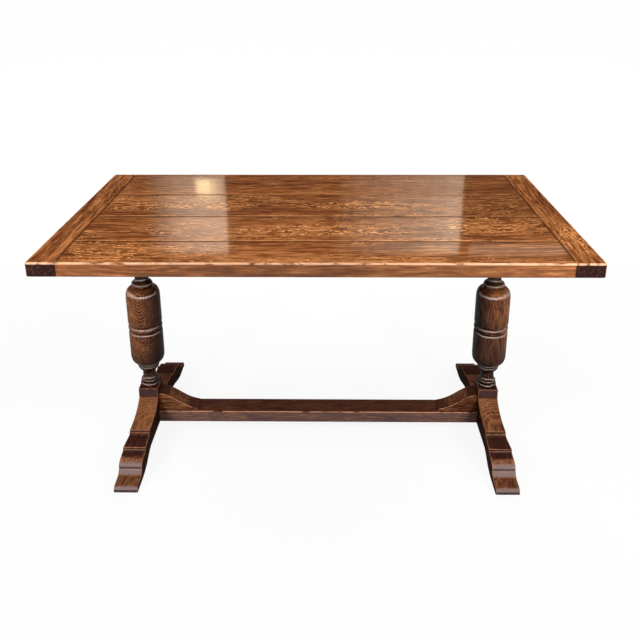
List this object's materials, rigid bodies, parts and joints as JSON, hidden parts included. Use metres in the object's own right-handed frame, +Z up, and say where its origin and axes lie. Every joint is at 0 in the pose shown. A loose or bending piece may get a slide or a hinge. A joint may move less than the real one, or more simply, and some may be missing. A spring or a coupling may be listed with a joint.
{
  "type": "refectory table",
  "caption": "Rectangular oak refectory table with a planked, end-cleated top on turned barrel columns, stepped sledge feet and a low flat stretcher with ogee brackets.",
  "frame": {"origin": "on the floor under the middle of the table top", "axes": "+X along the table, +Y from the front edge to the back edge, +Z up"},
  "size_m": [1.524, 0.864, 0.775],
  "materials": {
    "top_oak": "polished quarter-sawn oak, warm mid-brown, semi-gloss",
    "base_oak": "dark stained oak, waxed, semi-gloss",
    "joinery_oak": "plain split oak, unfinished",
    "screw_steel": "dull plain steel"
  },
  "bodies": {
    "root": {"board_back": "top_oak", "board_mid_back": "top_oak", "board_mid_front": "top_oak", "board_front": "top_oak", "cleat_left": "top_oak", "cleat_right": "top_oak", "tongue_back": "joinery_oak", "tongue_middle": "joinery_oak", "tongue_front": "joinery_oak", "bearer_left": "base_oak", "bearer_right": "base_oak", "column_left": "base_oak", "column_right": "base_oak", "foot_left": "base_oak", "foot_right": "base_oak", "bracket_left": "base_oak", "bracket_right": "base_oak", "stretcher": "base_oak", "cleat_pegs": "joinery_oak", "upper_wedges": "joinery_oak", "lower_wedges": "joinery_oak", "stretcher_pegs": "joinery_oak", "bracket_dowels": "joinery_oak", "top_screws": "screw_steel", "bracket_screws": "screw_steel"}
  },
  "joints": []
}
